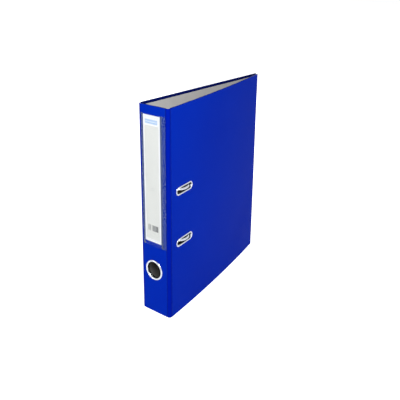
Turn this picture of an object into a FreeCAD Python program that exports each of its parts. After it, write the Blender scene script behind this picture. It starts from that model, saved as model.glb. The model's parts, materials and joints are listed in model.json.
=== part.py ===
"""Lever arch file, 318 mm tall, for punched A4 sheets, standing upright with its covers nearly closed.

Axes: the spine's outer face looks along -Y, the covers run back along +Y, the front cover is on the
+X side, Z is up and the file stands on Z = 0. The back cover carries the mechanism and stays still.
Sizes are in millimetres and live in the sheet named Sizes. Every body is driven by it.
"""
import FreeCAD, Part
import math
import os
import re

import Sketcher
from FreeCAD import Vector

doc = FreeCAD.newDocument("lever_arch_file")

# ---------------------------------------------------------------- sizes
SIZES = [
    # the case
    ("file_height", 318), ("cover_depth", 285), ("spine_width", 56),
    ("skin", 0.2), ("board", 1.9),
    ("crease", 5.5),          # from a case corner to the nearest edge of each board
    ("mouth", 8),             # between the outer faces of the covers, at their free edges
    ("cover_bow", 4),         # how far the front board has bowed outwards
    ("skin_end", 0.3),        # the skins stop this short of the boards' ends
    ("lining_inset", 4), ("strip", 0.7),
    ("rivet_reach", 1.2),     # height of a rivet head outside the back cover
    # the mechanism: depth is from the spine's lining, height from the back cover's lining
    ("mech_z", 155), ("pitch", 80), ("plate", 1.2),
    ("plate_near", 24), ("plate_far", 61),
    ("wire", 1.9),            # radius of the arch wire
    ("shaft_depth", 33), ("shaft_height", 5.5),
    ("crank", 7.64), ("crank_drop", 1.9), ("crank_half", 7),
    ("arch_radius", 16), ("post_depth", 54), ("knee_height", 14), ("knee_bend", 8),
    ("arch_proud", 2.3),      # how far the arches stand out of the slots in the front cover
    ("post_radius", 2.75), ("post_bore", 2.3), ("post_top", 28),
    ("pivot_depth", 38.4), ("pivot_height", 13.15), ("pivot_pin", 1.5),
    ("roller_depth", 37.6), ("roller_height", 9.55), ("roller_pin", 1.0),
    ("flange_in", 9.3), ("ear_in", 10.9),
    ("lever_tip", 4),
    ("bar_near", 47), ("bar_far", 61), ("bar_height", 2.6),
    # slots in the front cover, counted from the case corner
    ("slot_middle", 38.5), ("slot_length", 38), ("slot_width", 8.4), ("rim", 2), ("rim_height", 0.6),
    # finger ring and label on the spine
    ("ring_x", -2.2), ("ring_z", 71), ("ring_middle", 14.4), ("ring_bead", 1.6), ("ring_tube", 0.8),
    ("label_x", -2.5), ("label_half", 15.2), ("label_low", 116.5), ("label_tall", 188),
    ("pocket_half", 22.2), ("pocket_low", 110), ("pocket_deep", 0.75),
    # the row's origin, under the middle of the whole file
    ("origin_x", -0.895), ("origin_y", 141.7),
]
DERIVED = [
    ("panel", "board + 2 * skin"),
    ("half", "spine_width / 2"),
    ("tilt", "asin((spine_width - mouth) / cover_depth)"),
    ("bow_radius", "(cover_depth * cover_depth / 4 + cover_bow * cover_bow) / (2 * cover_bow)"),
    ("bow_angle", "asin(cover_depth / 2 / bow_radius)"),
    ("crease_turn", "90 deg + tilt - bow_angle"),
    ("crease_radius", "crease * tan((180 deg - crease_turn) / 2)"),
    # the arches' tops follow the front cover, which is half its bow proud of a flat one at the slots
    ("arch_crown", "spine_width - panel - slot_middle * sin(tilt) + cover_bow / 2 + arch_proud - wire - 0.6"),
    ("crank_depth", "shaft_depth + crank * cos(crank_drop * 1 deg)"),
    ("crank_height", "shaft_height - crank * sin(crank_drop * 1 deg)"),
    ("roller_reach", "sqrt(pow(crank_depth - roller_depth; 2) + pow(crank_height - roller_height; 2))"),
    ("roller_radius", "roller_reach - wire - 0.06"),
    ("leaf_top", "crank_height - wire - 0.15"), ("leaf_under", "leaf_top - 0.5"),
    ("rivet_half", "pitch / 2 + 7"), ("plate_half", "pitch / 2 + 12"), ("bar_half", "pitch / 2 + 10"),
    ("outer_lug", "pitch / 2 - 9"),
]
sheet = doc.addObject("Spreadsheet::Sheet", "Sizes")
for row, (alias, value) in enumerate(SIZES + DERIVED, 1):
    sheet.set(f"A{row}", alias)
    sheet.set(f"B{row}", str(value) if row <= len(SIZES) else "=" + value)
    sheet.setAlias(f"B{row}", alias)
doc.recompute()
ALIASES = {alias for alias, _ in SIZES + DERIVED}


def size(alias):
    """The number behind a name of the sheet."""
    value = sheet.get(alias)
    return float(getattr(value, "Value", value))


def bind(obj, prop, expression):
    """Drive one property of a body by an expression written with the sheet's names."""
    named = re.sub(r"[a-z_]{3,}", lambda m: "Sizes." + m[0] if m[0] in ALIASES else m[0], str(expression))
    obj.setExpression(prop, named)


placed = {}


def place(obj, x="0", y="0", z="0"):
    """Put a body's own origin at a point."""
    placed[obj.Name] = (x, y, z)
    for axis, value in zip("xyz", (x, y, z)):
        bind(obj, f"Placement.Base.{axis}", value)


TURNS = {"Z": FreeCAD.Rotation(), "X": FreeCAD.Rotation(Vector(0, 1, 0), 90),
         "Y": FreeCAD.Rotation(Vector(1, 0, 0), -90)}
IN = "panel - half"      # x of the back cover's lining, where heights in the mechanism start
DEEP = "panel"           # y of the spine's lining, where depths in the mechanism start


# ---------------------------------------------------------------- simple bodies
def box(name, x0, x1, y0, y1, z0, z1):
    obj = doc.addObject("Part::Box", name)
    place(obj, x0, y0, z0)
    for prop, low, high in (("Length", x0, x1), ("Width", y0, y1), ("Height", z0, z1)):
        bind(obj, prop, f"({high}) - ({low})")
    return obj


def cylinder(name, axis, radius, start, end, x="0", y="0", z="0"):
    """A cylinder along one axis, from start to end on that axis, through the point given."""
    obj = doc.addObject("Part::Cylinder", name)
    obj.Placement = FreeCAD.Placement(Vector(), TURNS[axis])
    at = {"X": x, "Y": y, "Z": z, axis: start}
    place(obj, at["X"], at["Y"], at["Z"])
    bind(obj, "Radius", radius)
    bind(obj, "Height", f"({end}) - ({start})")
    return obj


def cone(name, axis, radius, end_radius, start, end, x="0", y="0", z="0"):
    obj = doc.addObject("Part::Cone", name)
    obj.Placement = FreeCAD.Placement(Vector(), TURNS[axis])
    at = {"X": x, "Y": y, "Z": z, axis: start}
    place(obj, at["X"], at["Y"], at["Z"])
    bind(obj, "Radius1", radius)
    bind(obj, "Radius2", end_radius)
    bind(obj, "Height", f"({end}) - ({start})")
    return obj


def fuse(name, bodies):
    obj = doc.addObject("Part::MultiFuse", name)
    obj.Shapes = bodies
    return obj


def cut(name, base, tools):
    """The base less every tool."""
    tool = tools[0] if len(tools) == 1 else fuse(name + "_tools", tools)
    obj = doc.addObject("Part::Cut", name)
    obj.Base, obj.Tool = base, tool
    return obj


def common(name, a, b):
    obj = doc.addObject("Part::Common", name)
    obj.Base, obj.Tool = a, b
    return obj


def outline(name, points, z0, z1):
    """A flat piece whose outline is a polygon of (depth, height) points, standing square to Z."""
    body = doc.addObject("PartDesign::Body", name)
    plane = next(f for f in body.Origin.OriginFeatures if f.Role == "XY_Plane")
    sketch = body.newObject("Sketcher::SketchObject", name + "_sketch")
    sketch.AttachmentSupport = [(plane, "")]
    sketch.MapMode = "FlatFace"
    count = len(points)
    rough = [Vector(h + 100, d + 100, 0) for d, h in ([float(v) if not isinstance(v, str) else size(v)
             for v in p] for p in points)]
    for i in range(count):
        sketch.addGeometry(Part.LineSegment(rough[i], rough[(i + 1) % count]), False)
    for i in range(count):
        sketch.addConstraint(Sketcher.Constraint("Coincident", i, 2, (i + 1) % count, 1))
    for i, (depth, height) in enumerate(points):
        for kind, value, word in (("DistanceX", height, "height"), ("DistanceY", depth, "depth")):
            number = size(value) if isinstance(value, str) else float(value)
            index = sketch.addConstraint(Sketcher.Constraint(kind, -1, 1, i, 1, number + 100))
            sketch.renameConstraint(index, f"{word}_{i}")
            bind(sketch, f"Constraints.{word}_{i}", f"{value} + 100")
    pad = body.newObject("PartDesign::Pad", name + "_pad")
    pad.Profile = sketch
    bind(pad, "Length", f"({z1}) - ({z0})")
    place(body, f"{IN} - 100", f"{DEEP} - 100", z0)
    return body


def rounded_plate(name, h0, h1, d0, d1, half, radius):
    """A flat plate lying on the back cover with rounded corners, centred on the mechanism."""
    x0, x1 = f"{IN} + {h0}", f"{IN} + {h1}"
    y0, y1 = f"{DEEP} + {d0}", f"{DEEP} + {d1}"
    parts = [box(name + "_long", x0, x1, f"{y0} + {radius}", f"{y1} - {radius}",
                 f"mech_z - {half}", f"mech_z + {half}"),
             box(name + "_wide", x0, x1, y0, y1, f"mech_z - {half} + {radius}", f"mech_z + {half} - {radius}")]
    for i, (y, sy) in enumerate(((y0, "+"), (y1, "-"))):
        for j, (sign, sz) in enumerate((("-", "+"), ("+", "-"))):
            parts.append(cylinder(f"{name}_corner_{i}{j}", "X", radius, x0, x1,
                                  y=f"{y} {sy} {radius}", z=f"mech_z {sign} {half} {sz} {radius}"))
    return fuse(name, parts)


def pin(name, radius, h0, h1, depth, z):
    """A round pin standing on the back cover, from one height to another."""
    return cylinder(name, "X", radius, f"{IN} + {h0}", f"{IN} + {h1}", y=f"{DEEP} + {depth}", z=z)


def across(name, radius, depth, height, z0, z1):
    """A round bar along Z at a depth and height in the mechanism."""
    return cylinder(name, "Z", radius, z0, z1, x=f"{IN} + {height}", y=f"{DEEP} + {depth}")


nodes = {}


def node(label, obj):
    """Name a finished body, and move it so that the row's origin is at zero."""
    if label in nodes:
        raise RuntimeError(label + " is made twice")
    obj.Label = label
    x, y, z = placed.get(obj.Name, ("0", "0", "0"))
    place(obj, f"({x}) - origin_x", f"({y}) - origin_y", z)
    nodes[label] = obj


# ---------------------------------------------------------------- back cover
RIVETS = [(depth, f"mech_z {sign} {reach}")
          for depth, reach in ((28.5, "rivet_half"), (57, 24)) for sign in "-+"]


def rivet_holes(name, radius):
    return [cylinder(f"{name}_hole_{i}", "X", radius, "-half - 2", "-half + panel + 4",
                     y=f"{DEEP} + {depth}", z=z) for i, (depth, z) in enumerate(RIVETS)]


node("back_board", cut("back_board_", box("back_slab", "-half + skin", "-half + skin + board", "crease",
     "cover_depth - skin_end", "0", "file_height"), rivet_holes("back_board", 2.05)))
node("back_cover_film", cut("back_film_", box("back_film_slab", "-half", "-half + skin", "crease",
     "cover_depth", "skin_end", "file_height - skin_end"), rivet_holes("back_film", 2.05)))
node("back_cover_lining", cut("back_lining_", box("back_lining_slab", "-half + skin + board", "-half + panel",
     "crease + 1", "cover_depth - lining_inset", "lining_inset", "file_height - lining_inset"),
     rivet_holes("back_lining", 2.05)))


# ---------------------------------------------------------------- spine
def ring_hole(name, radius):
    return cylinder(name, "Y", radius, "-3", "panel + 3", x="ring_x", z="ring_z")


RING_OUT = "ring_middle - ring_bead + ring_tube"
for label, y0, y1, inset, low in (("spine_board", "skin", "skin + board", "0", "0"),
                                  ("spine_film", "0", "skin", "0", "skin_end"),
                                  ("spine_lining", "skin + board", "panel", "1", "lining_inset")):
    slab = box(label + "_slab", f"-half + crease + {inset}", f"half - crease - {inset}", y0, y1,
               low, f"file_height - {low}")
    node(label, cut(label + "_", slab, [ring_hole(label + "_hole", f"{RING_OUT} + 0.05")]))

bead = doc.addObject("Part::Torus", "ring_bead_round")
bead.Placement = FreeCAD.Placement(Vector(), TURNS["Y"])
bind(bead, "Radius1", "ring_middle")
bind(bead, "Radius2", "ring_bead")
place(bead, "ring_x", "0", "ring_z")
front_half = cylinder("ring_front", "Y", "ring_middle + 5", "-5", "0", x="ring_x", z="ring_z")
tube = cylinder("ring_tube_out", "Y", RING_OUT, "-0.4", "panel + 0.8", x="ring_x", z="ring_z")
ring = fuse("ring_solid", [common("ring_rim", bead, front_half), tube])
node("finger_ring", cut("finger_ring_", ring, [ring_hole("ring_bore", "ring_middle - ring_bead")]))
washer = cylinder("ring_washer_disc", "Y", "ring_middle + ring_bead", "panel", "panel + 0.8",
                  x="ring_x", z="ring_z")
node("finger_ring_washer", cut("ring_washer_", washer, [ring_hole("ring_washer_hole", f"{RING_OUT} + 0.05")]))

pocket = box("pocket_slab", "-pocket_half", "pocket_half", "-pocket_deep", "0", "pocket_low",
             "label_low + label_tall + 1.5")
pouch = box("pocket_space", "label_x - label_half - 0.4", "label_x + label_half + 0.4", "0.2 - pocket_deep",
            "0", "label_low - 0.2", "label_low + label_tall + 5")
node("label_pocket", cut("label_pocket_", pocket, [pouch]))
node("label_card", box("label_card_", "label_x - label_half", "label_x + label_half", "0.3 - pocket_deep",
     "-0.1", "label_low", "label_low + label_tall"))


# ---------------------------------------------------------------- creases
def crease_strip(label, x, y, radius, start, turn):
    """The bare film and lining that bend round a corner of the case, between two boards."""
    layers = []
    for i, r in enumerate((radius, f"{radius} - strip")):
        layer = doc.addObject("Part::Cylinder", f"{label}_round_{i}")
        layer.Placement = FreeCAD.Placement(Vector(), FreeCAD.Rotation(Vector(0, 0, 1), start))
        bind(layer, "Radius", r)
        bind(layer, "Angle", turn)
        bind(layer, "Height", "file_height - 2 * skin_end")
        place(layer, x, y, "skin_end")
        layers.append(layer)
    node(label, cut(label + "_", layers[0], layers[1:]))


crease_strip("back_hinge_strip", "-half + crease", "crease", "crease", 180, "90")
crease_strip("front_hinge_strip", "half - crease", "crease_radius", "crease_radius", 270, "crease_turn - 2 deg")


# ---------------------------------------------------------------- front cover
# It is built flat against X = 0 with its corner at the origin, then turned about that corner.
def bowed(name, inner, outer, y0, y1, z0, z1):
    """A layer of the front cover between two heights above its outer face, bent to the cover's bow."""
    rounds = []
    for i, level in enumerate((outer, inner)):
        shell = doc.addObject("Part::Cylinder", f"{name}_round_{i}")
        shell.Placement = FreeCAD.Placement(Vector(), FreeCAD.Rotation(Vector(0, 0, 1), -4))
        bind(shell, "Radius", f"bow_radius + {level}")
        bind(shell, "Angle", "8")
        bind(shell, "Height", f"({z1}) - ({z0})")
        place(shell, "cover_bow - bow_radius", "cover_depth / 2", z0)
        rounds.append(shell)
    band = cut(name + "_band", rounds[0], rounds[1:])
    return common(name + "_cut", band, box(name + "_length", "-8", "8", y0, y1, z0, z1))


def slot(name, grow, z):
    """A round-ended prism through the front cover, at a slot and grown all round."""
    length, radius = "slot_length / 2 - slot_width / 2", f"slot_width / 2 + {grow}"
    middle = box(name + "_middle", "-6", "6", f"slot_middle - ({length})", f"slot_middle + {length}",
                 f"{z} - ({radius})", f"{z} + {radius}")
    ends = [cylinder(f"{name}_end_{i}", "X", radius, "-6", "6", y=f"slot_middle {sign} ({length})", z=z)
            for i, sign in enumerate("-+")]
    return fuse(name, [middle] + ends)


def front_node(label, obj):
    """A piece of the front cover, swung in to where the covers nearly meet."""
    place(obj, "half", "0", "0")
    bind(obj, "Placement.Rotation.Angle", "tilt")
    node(label, obj)


SLOTS = (("upper", "mech_z + pitch / 2"), ("lower", "mech_z - pitch / 2"))
for label, inner, outer, near, far, low in (
        ("front_board", "-skin - board", "-skin", "crease", "cover_depth - skin_end", "0"),
        ("front_cover_film", "-skin", "0", "crease", "cover_depth", "skin_end"),
        ("front_cover_lining", "-panel", "-skin - board", "crease + 1", "cover_depth - lining_inset",
         "lining_inset")):
    layer = bowed(label + "_layer", inner, outer, near, far, low, f"file_height - {low}")
    front_node(label, cut(label + "_", layer, [slot(f"{label}_{w}", 0.55, z) for w, z in SLOTS]))
for which, z in SLOTS:
    z0, z1 = f"{z} - 12", f"{z} + 12"
    y0, y1 = "slot_middle - slot_length", "slot_middle + slot_length"
    rim = common(f"{which}_rim", bowed(f"{which}_rim_layer", "0", "rim_height", y0, y1, z0, z1),
                 slot(f"{which}_rim_edge", "rim", z))
    barrel = common(f"{which}_barrel",
                    bowed(f"{which}_barrel_layer", "-panel - rim_height", "0.1", y0, y1, z0, z1),
                    slot(f"{which}_barrel_edge", 0.5, z))
    front_node(f"{which}_slot_eyelet", cut(f"{which}_eyelet_", fuse(f"{which}_eyelet_solid", [rim, barrel]),
                                           [slot(f"{which}_opening", 0, z)]))
    back = common(f"{which}_back",
                  bowed(f"{which}_back_layer", "-panel - rim_height", "-panel", y0, y1, z0, z1),
                  slot(f"{which}_back_edge", "rim", z))
    front_node(f"{which}_slot_washer", cut(f"{which}_washer_", back, [slot(f"{which}_washer_hole", 0.55, z)]))

# ---------------------------------------------------------------- base plate, rivets and posts
LOW, HIGH = "mech_z - pitch / 2", "mech_z + pitch / 2"
shafts = across("shaft_bore", "wire + 0.06", "shaft_depth", "shaft_height", LOW, HIGH)
pivots = across("pivot_bore", "pivot_pin", "pivot_depth", "pivot_height", LOW, HIGH)
plate_parts = [rounded_plate("base_sheet", "0", "plate", "plate_near", "plate_far", "plate_half", "4")]
for sign, word in (("-", "low"), ("+", "high")):
    for kind, inside in (("ear", "ear_in"), ("lug", "outer_lug")):
        z = [f"mech_z {sign} {inside}", f"mech_z {sign} ({inside} + plate)"]
        z0, z1 = sorted(z, key=lambda text: ("plate" in text) == (sign == "+"))
        eye = across(f"{kind}_{word}_shaft_eye", "wire + 2.2", "shaft_depth", "shaft_height", z0, z1)
        foot = box(f"{kind}_{word}_foot", f"{IN} + plate / 2", f"{IN} + shaft_height",
                   f"{DEEP} + shaft_depth - 4.1", f"{DEEP} + shaft_depth + 4.1", z0, z1)
        plate_parts += [eye, foot]
        if kind == "ear":
            plate_parts.append(across(f"ear_{word}_pivot_eye", "pivot_pin + 1.8", "pivot_depth",
                                      "pivot_height", z0, z1))
            plate_parts.append(outline(f"ear_{word}_web", [(29.4, 7), (33, 1), (40.5, 1), (41.6, 12.5),
                                                           (36, 15.4)], z0, z1))
plate_holes = [pin(f"plate_rivet_hole_{i}", 2.05, -1, 3, depth, z) for i, (depth, z) in enumerate(RIVETS)]
plate_holes += [pin(f"plate_post_hole_{i}", 2.5, -1, 3, "post_depth", z) for i, z in enumerate((LOW, HIGH))]
plate_holes.append(pin("plate_spring_hole", 1.25, -1, 3, 27.5, "mech_z"))
node("base_plate", cut("base_plate_", fuse("base_plate_solid", plate_parts), plate_holes + [shafts, pivots]))

rivets = []
for i, (depth, z) in enumerate(RIVETS):
    rivets.append(fuse(f"rivet_{i}", [
        cylinder(f"rivet_{i}_shank", "X", 2, "-half - 0.3", f"{IN} + plate + 0.3", y=f"{DEEP} + {depth}", z=z),
        cone(f"rivet_{i}_outside", "X", 3.6, 5, "-half - rivet_reach", "-half", y=f"{DEEP} + {depth}", z=z),
        cone(f"rivet_{i}_inside", "X", 3.6, 2.8, f"{IN} + plate", f"{IN} + plate + 1",
             y=f"{DEEP} + {depth}", z=z)]))
group = doc.addObject("Part::Compound", "rivet_group")
group.Links = rivets
node("mechanism_rivets", group)

for which, z in SLOTS:
    post = fuse(which + "_post_solid", [
        pin(which + "_post_shank", "post_radius", "plate", "post_top", "post_depth", z),
        pin(which + "_post_foot", "post_radius + 1.5", "plate", "plate + 0.9", "post_depth", z),
        pin(which + "_post_spigot", 2.45, 0, 1.5, "post_depth", z)])
    node(which + "_post", cut(which + "_post_", post, [
        pin(which + "_post_bore", "post_bore", "post_top - 8", "post_top + 1", "post_depth", z)]))

leaf = outline("leaf", [(25.3, "plate"), (30, "plate"), (42, "leaf_under"), (42, "leaf_top"), (29.8, 1.75),
                        (25.3, 1.75)], "mech_z - 4", "mech_z + 4")
node("leaf_spring", cut("leaf_spring_", leaf, [pin("leaf_hole", 1.25, 0, 4, 27.5, "mech_z")]))
node("spring_rivet", fuse("spring_rivet_", [pin("spring_rivet_shank", 1.2, 0.1, 2, 27.5, "mech_z"),
     pin("spring_rivet_head", 2.2, 1.75, 2.5, 27.5, "mech_z")]))


# ---------------------------------------------------------------- arches, bent from one wire
def wire_path():
    """Centre line of the arch wire: tip, arch, shaft, crank, shaft, arch, tip."""
    x0, y0, mz = size("panel") - size("half"), size("panel"), size("mech_z")

    def at(depth, height, z):
        return Vector(x0 + height, y0 + depth, mz + z)
    shaft = (size("shaft_depth"), size("shaft_height"))
    crank = (size("crank_depth"), size("crank_height"))
    radius, post, half = size("arch_radius"), size("post_depth"), size("pitch") / 2
    middle, spring_line = post - radius, size("arch_crown") - radius
    start = (post, size("post_top") + 0.3)
    left, knee = (post - 2 * radius, spring_line), (post - 2 * radius, size("knee_height"))
    leg, bend = size("knee_bend"), size("crank") / 2 - 0.5
    corners = [(at(*left, half), 0), (at(*knee, half), leg), (at(*shaft, half), bend),
               (at(*shaft, size("crank_half")), bend), (at(*crank, size("crank_half")), bend)]
    corners += [(Vector(p.x, p.y, 2 * mz - p.z), r) for p, r in reversed(corners)]
    edges, here = [], corners[0][0]
    for (before, _), (corner, turn), (after, _) in zip(corners, corners[1:], corners[2:]):
        a, b = (before - corner).normalize(), (after - corner).normalize()
        half_angle = a.getAngle(b) / 2
        reach = turn / math.tan(half_angle)
        centre = corner + (a + b).normalize() * (turn / math.sin(half_angle))
        enter, leave = corner + a * reach, corner + b * reach
        edges.append(Part.LineSegment(here, enter).toShape())
        edges.append(Part.Arc(enter, centre + (corner - centre).normalize() * turn, leave).toShape())
        here = leave
    edges.append(Part.LineSegment(here, corners[-1][0]).toShape())
    for z, ends in ((half, 0), (-half, 1)):
        over = Part.Arc(at(*left, z), at(middle, size("arch_crown"), z), at(post, spring_line, z)).toShape()
        down = Part.LineSegment(at(post, spring_line, z), at(*start, z)).toShape()
        edges = edges + [over, down] if ends else [down, over] + edges
    return Part.Wire(Part.__sortEdges__(edges))


path = doc.addObject("Part::Feature", "wire_line")
path.Shape = wire_path()
ring_section = doc.addObject("Part::Circle", "wire_section")
bind(ring_section, "Radius", "wire")
ring_section.Placement = FreeCAD.Placement(Vector(), TURNS["X"])
place(ring_section, f"{IN} + post_top + 0.3", f"{DEEP} + post_depth", HIGH)
bow = doc.addObject("Part::Sweep", "wire_sweep")
bow.Sections = [ring_section]
bow.Spine = (path, [f"Edge{i + 1}" for i in range(len(path.Shape.Edges))])
bow.Solid = True
bow.Transition = "Right corner"
tips = [cone(f"{which}_arch_tip", "X", 0.9, "wire", f"{IN} + post_top - 1.2", f"{IN} + post_top + 0.3",
             y=f"{DEEP} + post_depth", z=z) for which, z in SLOTS]
node("arch_bow", fuse("arch_bow_", [bow] + tips))

# ---------------------------------------------------------------- lever and roller
FLANGE_OUT = "(flange_in + plate)"
web = outline("lever_web", [(37, 17.6), (37, 16.4), ("lever_tip", 7.8), ("lever_tip", 9.0)],
              f"mech_z - {FLANGE_OUT}", f"mech_z + {FLANGE_OUT}")
lip = across("lever_lip", 1.1, "lever_tip", 8.5, f"mech_z - {FLANGE_OUT}", f"mech_z + {FLANGE_OUT}")
sides = [outline(f"lever_side_{word}", [(37, 17.4), (41, 16.2), (41.7, 13), (40.6, 9), (39.3, 7.3), (37.6, 6.8),
                                        (35.8, 7.3), (33.8, 9.0), (14, 8.4), (10, 9.1), (9, 9.9)], z0, z1)
         for word, z0, z1 in (("low", f"mech_z - {FLANGE_OUT}", "mech_z - flange_in"),
                              ("high", "mech_z + flange_in", f"mech_z + {FLANGE_OUT}"))]
pin_bore = across("lever_pivot_bore", "pivot_pin + 0.06", "pivot_depth", "pivot_height", "mech_z - 20",
                  "mech_z + 20")
axle_bore = across("lever_roller_bore", "roller_pin", "roller_depth", "roller_height", "mech_z - 20",
                   "mech_z + 20")
node("lever", cut("lever_", fuse("lever_solid", [web, lip] + sides), [pin_bore, axle_bore]))
node("roller_pin", across("roller_axle", "roller_pin", "roller_depth", "roller_height",
                          f"mech_z - {FLANGE_OUT}", f"mech_z + {FLANGE_OUT}"))
roller = across("roller_disc", "roller_radius", "roller_depth", "roller_height", "mech_z - 3.1", "mech_z + 3.1")
node("pressure_roller", cut("pressure_roller_", roller, [across(
    "roller_bore", "roller_pin + 0.06", "roller_depth", "roller_height", "mech_z - 5", "mech_z + 5")]))
pins = []
for sign, word in (("-", "low"), ("+", "high")):
    ends = {"shank": ("pivot_pin", "flange_in", "ear_in + plate + 0.2"),
            "head": ("pivot_pin + 1", "ear_in + plate", "ear_in + plate + 1")}
    pieces = []
    for kind, (radius, near, far) in ends.items():
        z0, z1 = f"mech_z {sign} ({near})", f"mech_z {sign} ({far})"
        pieces.append(across(f"pivot_{word}_{kind}", radius, "pivot_depth", "pivot_height",
                             *((z0, z1) if sign == "+" else (z1, z0))))
    pins.append(fuse(f"pivot_{word}", pieces))
pivot_group = doc.addObject("Part::Compound", "pivot_group")
pivot_group.Links = pins
node("lever_pivot_pins", pivot_group)

# ---------------------------------------------------------------- compressor
bar_parts = [rounded_plate("bar_sheet", "bar_height", "bar_height + 1", "bar_near", "bar_far", "bar_half", "2")]
for word, near, far in (("near", "bar_near", "bar_near + 1"), ("far", "bar_far - 1", "bar_far")):
    bar_parts.append(box(f"bar_rib_{word}", f"{IN} + bar_height", f"{IN} + bar_height + 3.5", f"{DEEP} + {near}",
                         f"{DEEP} + {far}", "mech_z - bar_half + 4", "mech_z + bar_half - 4"))
bar_holes = [pin(f"bar_hole_{i}", "post_radius + 0.3", 0, 9, "post_depth", z)
             for i, z in enumerate((LOW, HIGH))]
bar_holes.append(pin("bar_rivet_hole", 1.25, 0, 9, "post_depth", "mech_z"))
node("compressor_bar", cut("compressor_bar_", fuse("bar_solid", bar_parts), bar_holes))
spring = rounded_plate("catch_sheet", "bar_height + 1", "bar_height + 1.5", "post_depth - 4.5",
                       "post_depth + 4.5", "bar_half - 3", "2")
node("compressor_spring", cut("compressor_spring_", spring, [
    pin(f"catch_hole_{i}", "post_radius + 0.08", 0, 9, "post_depth", z) for i, z in enumerate((LOW, HIGH))]
    + [pin("catch_rivet_hole", 1.25, 0, 9, "post_depth", "mech_z")]))
node("compressor_rivet", fuse("compressor_rivet_", [
    pin("compressor_rivet_shank", 1.2, "bar_height - 0.3", "bar_height + 1.8", "post_depth", "mech_z"),
    pin("compressor_rivet_head", 2.3, "bar_height + 1.5", "bar_height + 2.3", "post_depth", "mech_z"),
    pin("compressor_rivet_tail", 1.8, "bar_height - 0.3", "bar_height", "post_depth", "mech_z")]))

# ---------------------------------------------------------------- checks and files
doc.recompute()
for obj in doc.Objects:
    if any(word in obj.State for word in ("Invalid", "Error")):
        raise RuntimeError(f"{obj.Label} did not compute: {obj.State}")
box_all = FreeCAD.BoundBox()
os.makedirs("parts", exist_ok=True)
for label, obj in nodes.items():
    shape = obj.Shape
    if shape.isNull() or not shape.isValid() or shape.Volume <= 0 or not shape.Solids:
        raise RuntimeError(label + " is not a sound solid")
    box_all.add(shape.BoundBox)
    shape.exportStep(f"parts/{label}.step")
    print(f"{label:24s} {len(shape.Solids)} solid  {shape.Volume / 1000:10.3f} cm3")
print(f"{len(nodes)} nodes, box", [round(v, 3) for v in (box_all.XMin, box_all.XMax, box_all.YMin, box_all.YMax,
                                                        box_all.ZMin, box_all.ZMax)])
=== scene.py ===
# %% [markdown]
# # A blue lever arch file
# The file is board wrapped in coloured plastic film, with a nickelled mechanism riveted to its back cover.
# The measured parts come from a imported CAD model, which is loaded first and never moved. This script gives
# them their finishes and adds the pieces whose look depends on soft edges: wrapped boards, creases, rolled
# rings. All lengths are in metres, so a millimetre is written as `mm`.

import json
import math

import bmesh
import bpy
import numpy as np
from mathutils import Matrix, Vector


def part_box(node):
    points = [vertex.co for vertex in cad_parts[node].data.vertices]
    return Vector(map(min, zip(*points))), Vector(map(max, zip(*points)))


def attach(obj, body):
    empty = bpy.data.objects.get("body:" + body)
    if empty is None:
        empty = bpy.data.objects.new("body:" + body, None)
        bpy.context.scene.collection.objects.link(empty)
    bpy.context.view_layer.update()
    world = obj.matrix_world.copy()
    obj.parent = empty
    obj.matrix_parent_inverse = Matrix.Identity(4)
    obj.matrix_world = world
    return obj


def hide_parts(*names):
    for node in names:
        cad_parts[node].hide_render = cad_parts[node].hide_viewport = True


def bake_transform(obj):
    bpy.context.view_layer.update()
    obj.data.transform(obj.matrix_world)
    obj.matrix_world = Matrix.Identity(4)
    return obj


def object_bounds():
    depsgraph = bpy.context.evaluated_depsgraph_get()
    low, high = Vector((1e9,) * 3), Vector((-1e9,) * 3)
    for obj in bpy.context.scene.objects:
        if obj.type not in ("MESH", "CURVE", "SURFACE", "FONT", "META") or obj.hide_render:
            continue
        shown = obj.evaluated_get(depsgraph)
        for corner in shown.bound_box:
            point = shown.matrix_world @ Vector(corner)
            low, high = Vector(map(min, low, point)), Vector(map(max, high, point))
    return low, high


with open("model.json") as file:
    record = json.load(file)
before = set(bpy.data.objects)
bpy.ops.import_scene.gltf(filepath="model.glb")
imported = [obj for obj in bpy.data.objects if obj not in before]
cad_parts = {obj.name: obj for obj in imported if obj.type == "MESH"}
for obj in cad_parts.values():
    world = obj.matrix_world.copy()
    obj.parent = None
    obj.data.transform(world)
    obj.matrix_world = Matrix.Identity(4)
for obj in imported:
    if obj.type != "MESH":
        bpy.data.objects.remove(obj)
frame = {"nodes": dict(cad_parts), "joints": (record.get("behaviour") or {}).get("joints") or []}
cad_low, cad_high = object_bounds()
parts = frame["nodes"]
mm = 0.001
print("parts", len(parts), "box", [round(v / mm, 1) for v in (*cad_low, *cad_high)])

# %% [markdown]
# ## Where things are
# Everything is placed from the imported parts. The two cover hinges stand at the corners of the case, the film
# nodes give the covers' depth, and the front cover leans in as far as an 8 mm mouth between the covers' free
# edges allows. The front cover is also bowed outwards by a few millimetres, as a loaded cover is, so its face
# is a very large circle.

# %% Corners and faces of the case
joints = {joint["name"]: joint for joint in frame["joints"]}
back_corner = joints["spine_hinge"]["pos_m"]
front_corner = joints["front_cover_hinge"]["pos_m"]
case_front = front_corner[1]                     # y of the spine's outer face
case_height = cad_high.z
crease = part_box("back_board")[0].y - case_front  # from a case corner to each board
cover_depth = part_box("back_cover_film")[1].y - case_front
film_and_board = 2.1 * mm
mouth = 8 * mm                                   # between the covers' outer faces at their free edges
bow = 4 * mm
case_width = front_corner[0] - back_corner[0]
lean = math.asin((case_width - mouth) / cover_depth)
bow_radius = (cover_depth ** 2 / 4 + bow ** 2) / (2 * bow)
print("crease %.1f mm, cover %.1f mm deep, leaning in %.2f degrees" % (
    crease / mm, cover_depth / mm, math.degrees(lean)))


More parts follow.
